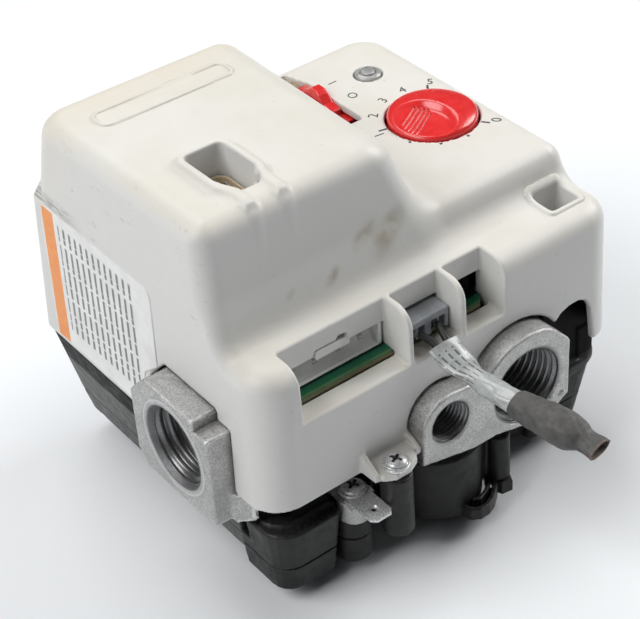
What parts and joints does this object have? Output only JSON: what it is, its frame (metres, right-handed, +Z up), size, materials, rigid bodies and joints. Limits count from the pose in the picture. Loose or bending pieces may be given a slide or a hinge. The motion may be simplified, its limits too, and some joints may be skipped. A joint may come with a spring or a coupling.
{
  "type": "gas control valve",
  "caption": "Gas control valve for a storage water heater: plastic cover with a red dial knob and slide switch, cast body with gas ports, wiring plug and black base.",
  "frame": {"origin": "middle of the footprint at the base, with the harness left out", "axes": "+Z up out of the dial, +Y away from the outlet side, +X from the gas inlet towards the knob"},
  "size_m": [0.116, 0.1486, 0.1044],
  "materials": {
    "front_cover": "fine moulded grain, slightly yellowed",
    "valve_body": "as cast, with machined faces",
    "rear_base": "semi-gloss moulded black",
    "rear_base_cover": "satin moulded black",
    "mounting_hub": "machined",
    "sensor_probe": "drawn copper",
    "base_gasket": "smooth sheet",
    "retaining_clip": "satin moulded black",
    "circuit_board": "green solder mask",
    "header_housing": "moulded nylon",
    "header_pin_1": "tinned",
    "header_pin_2": "tinned",
    "header_pin_3": "tinned",
    "header_pin_4": "tinned",
    "plug_header": "moulded nylon",
    "service_header": "moulded",
    "spark_module": "potted case",
    "potentiometer_body": "moulded",
    "switch_module": "moulded",
    "blade_terminal": "tinned sheet",
    "status_led": "clear",
    "status_lens": "translucent, softly domed",
    "temperature_knob": "satin gloss",
    "potentiometer_shaft": "turned",
    "power_switch": "satin gloss",
    "main_valve_frame": "zinc plated",
    "main_valve_coil": "enamelled winding under clear film",
    "main_valve_plunger": "ground",
    "main_valve_disc": "moulded",
    "main_valve_spring": "drawn wire",
    "pilot_valve_frame": "zinc plated",
    "pilot_valve_coil": "enamelled winding under clear film",
    "pilot_valve_plunger": "ground",
    "pilot_valve_disc": "moulded",
    "pilot_valve_spring": "drawn wire",
    "regulator_diaphragm": "moulded",
    "regulator_spring": "drawn wire",
    "regulator_screw": "machined",
    "inlet_strainer": "perforated sheet",
    "cover_screw": "bright zinc",
    "ground_screw": "bright zinc",
    "base_screw_1": "bright zinc",
    "base_screw_2": "bright zinc",
    "base_screw_3": "bright zinc",
    "base_screw_4": "bright zinc",
    "ground_tab": "tinned sheet",
    "side_label": "printed film, white with a plain orange band",
    "harness_plug": "moulded nylon",
    "wire_left": "smooth insulation",
    "wire_right": "smooth insulation",
    "label_sleeve": "glossy wrap",
    "heat_shrink_boot": "shrunk tubing"
  },
  "bodies": {
    "valve": {"front_cover": "front_cover", "valve_body": "valve_body", "rear_base": "rear_base", "rear_base_cover": "rear_base_cover", "mounting_hub": "mounting_hub", "sensor_probe": "sensor_probe", "base_gasket": "base_gasket", "retaining_clip": "retaining_clip", "circuit_board": "circuit_board", "header_housing": "header_housing", "header_pin_1": "header_pin_1", "header_pin_2": "header_pin_2", "header_pin_3": "header_pin_3", "header_pin_4": "header_pin_4", "plug_header": "plug_header", "service_header": "service_header", "spark_module": "spark_module", "potentiometer_body": "potentiometer_body", "switch_module": "switch_module", "blade_terminal": "blade_terminal", "status_led": "status_led", "status_lens": "status_lens", "main_valve_frame": "main_valve_frame", "main_valve_coil": "main_valve_coil", "main_valve_spring": "main_valve_spring", "pilot_valve_frame": "pilot_valve_frame", "pilot_valve_coil": "pilot_valve_coil", "pilot_valve_spring": "pilot_valve_spring", "regulator_spring": "regulator_spring", "inlet_strainer": "inlet_strainer", "cover_screw": "cover_screw", "ground_screw": "ground_screw", "base_screw_1": "base_screw_1", "base_screw_2": "base_screw_2", "base_screw_3": "base_screw_3", "base_screw_4": "base_screw_4", "ground_tab": "ground_tab", "side_label": "side_label", "harness_plug": "harness_plug", "wire_left": "wire_left", "wire_right": "wire_right", "label_sleeve": "label_sleeve", "heat_shrink_boot": "heat_shrink_boot"},
    "knob": {"temperature_knob": "temperature_knob", "potentiometer_shaft": "potentiometer_shaft"},
    "switch": {"power_switch": "power_switch"},
    "main_plunger": {"main_valve_plunger": "main_valve_plunger", "main_valve_disc": "main_valve_disc"},
    "pilot_plunger": {"pilot_valve_plunger": "pilot_valve_plunger", "pilot_valve_disc": "pilot_valve_disc"},
    "diaphragm": {"regulator_diaphragm": "regulator_diaphragm"},
    "adjuster": {"regulator_screw": "regulator_screw"}
  },
  "joints": [
    {"name": "knob_turn", "type": "hinge", "parent": "valve", "child": "knob", "pos_m": [0.0415, 0.0055, 0.081], "axis": [0, 0, 1], "range_deg": [0, 254]},
    {"name": "switch_slide", "type": "slide", "parent": "valve", "child": "switch", "axis": [0, -1, 0], "range_m": [0, 0.008]},
    {"name": "main_valve_lift", "type": "slide", "parent": "valve", "child": "main_plunger", "axis": [0, 0, 1], "range_m": [0, 0.002], "stiffness_N_per_m": 300, "springref_m": -0.002, "deforming": ["main_valve_spring"]},
    {"name": "pilot_valve_lift", "type": "slide", "parent": "valve", "child": "pilot_plunger", "axis": [0, 0, 1], "range_m": [0, 0.0015], "stiffness_N_per_m": 300, "springref_m": -0.002, "deforming": ["pilot_valve_spring"]},
    {"name": "regulator_lift", "type": "slide", "parent": "valve", "child": "diaphragm", "axis": [0, 0, 1], "range_m": [-0.001, 0.001], "stiffness_N_per_m": 800, "deforming": ["regulator_spring"]},
    {"name": "regulator_adjust", "type": "hinge", "parent": "valve", "child": "adjuster", "pos_m": [-0.027, 0.024, 0.006], "axis": [0, 0, 1], "range_deg": [-180, 180]}
  ]
}
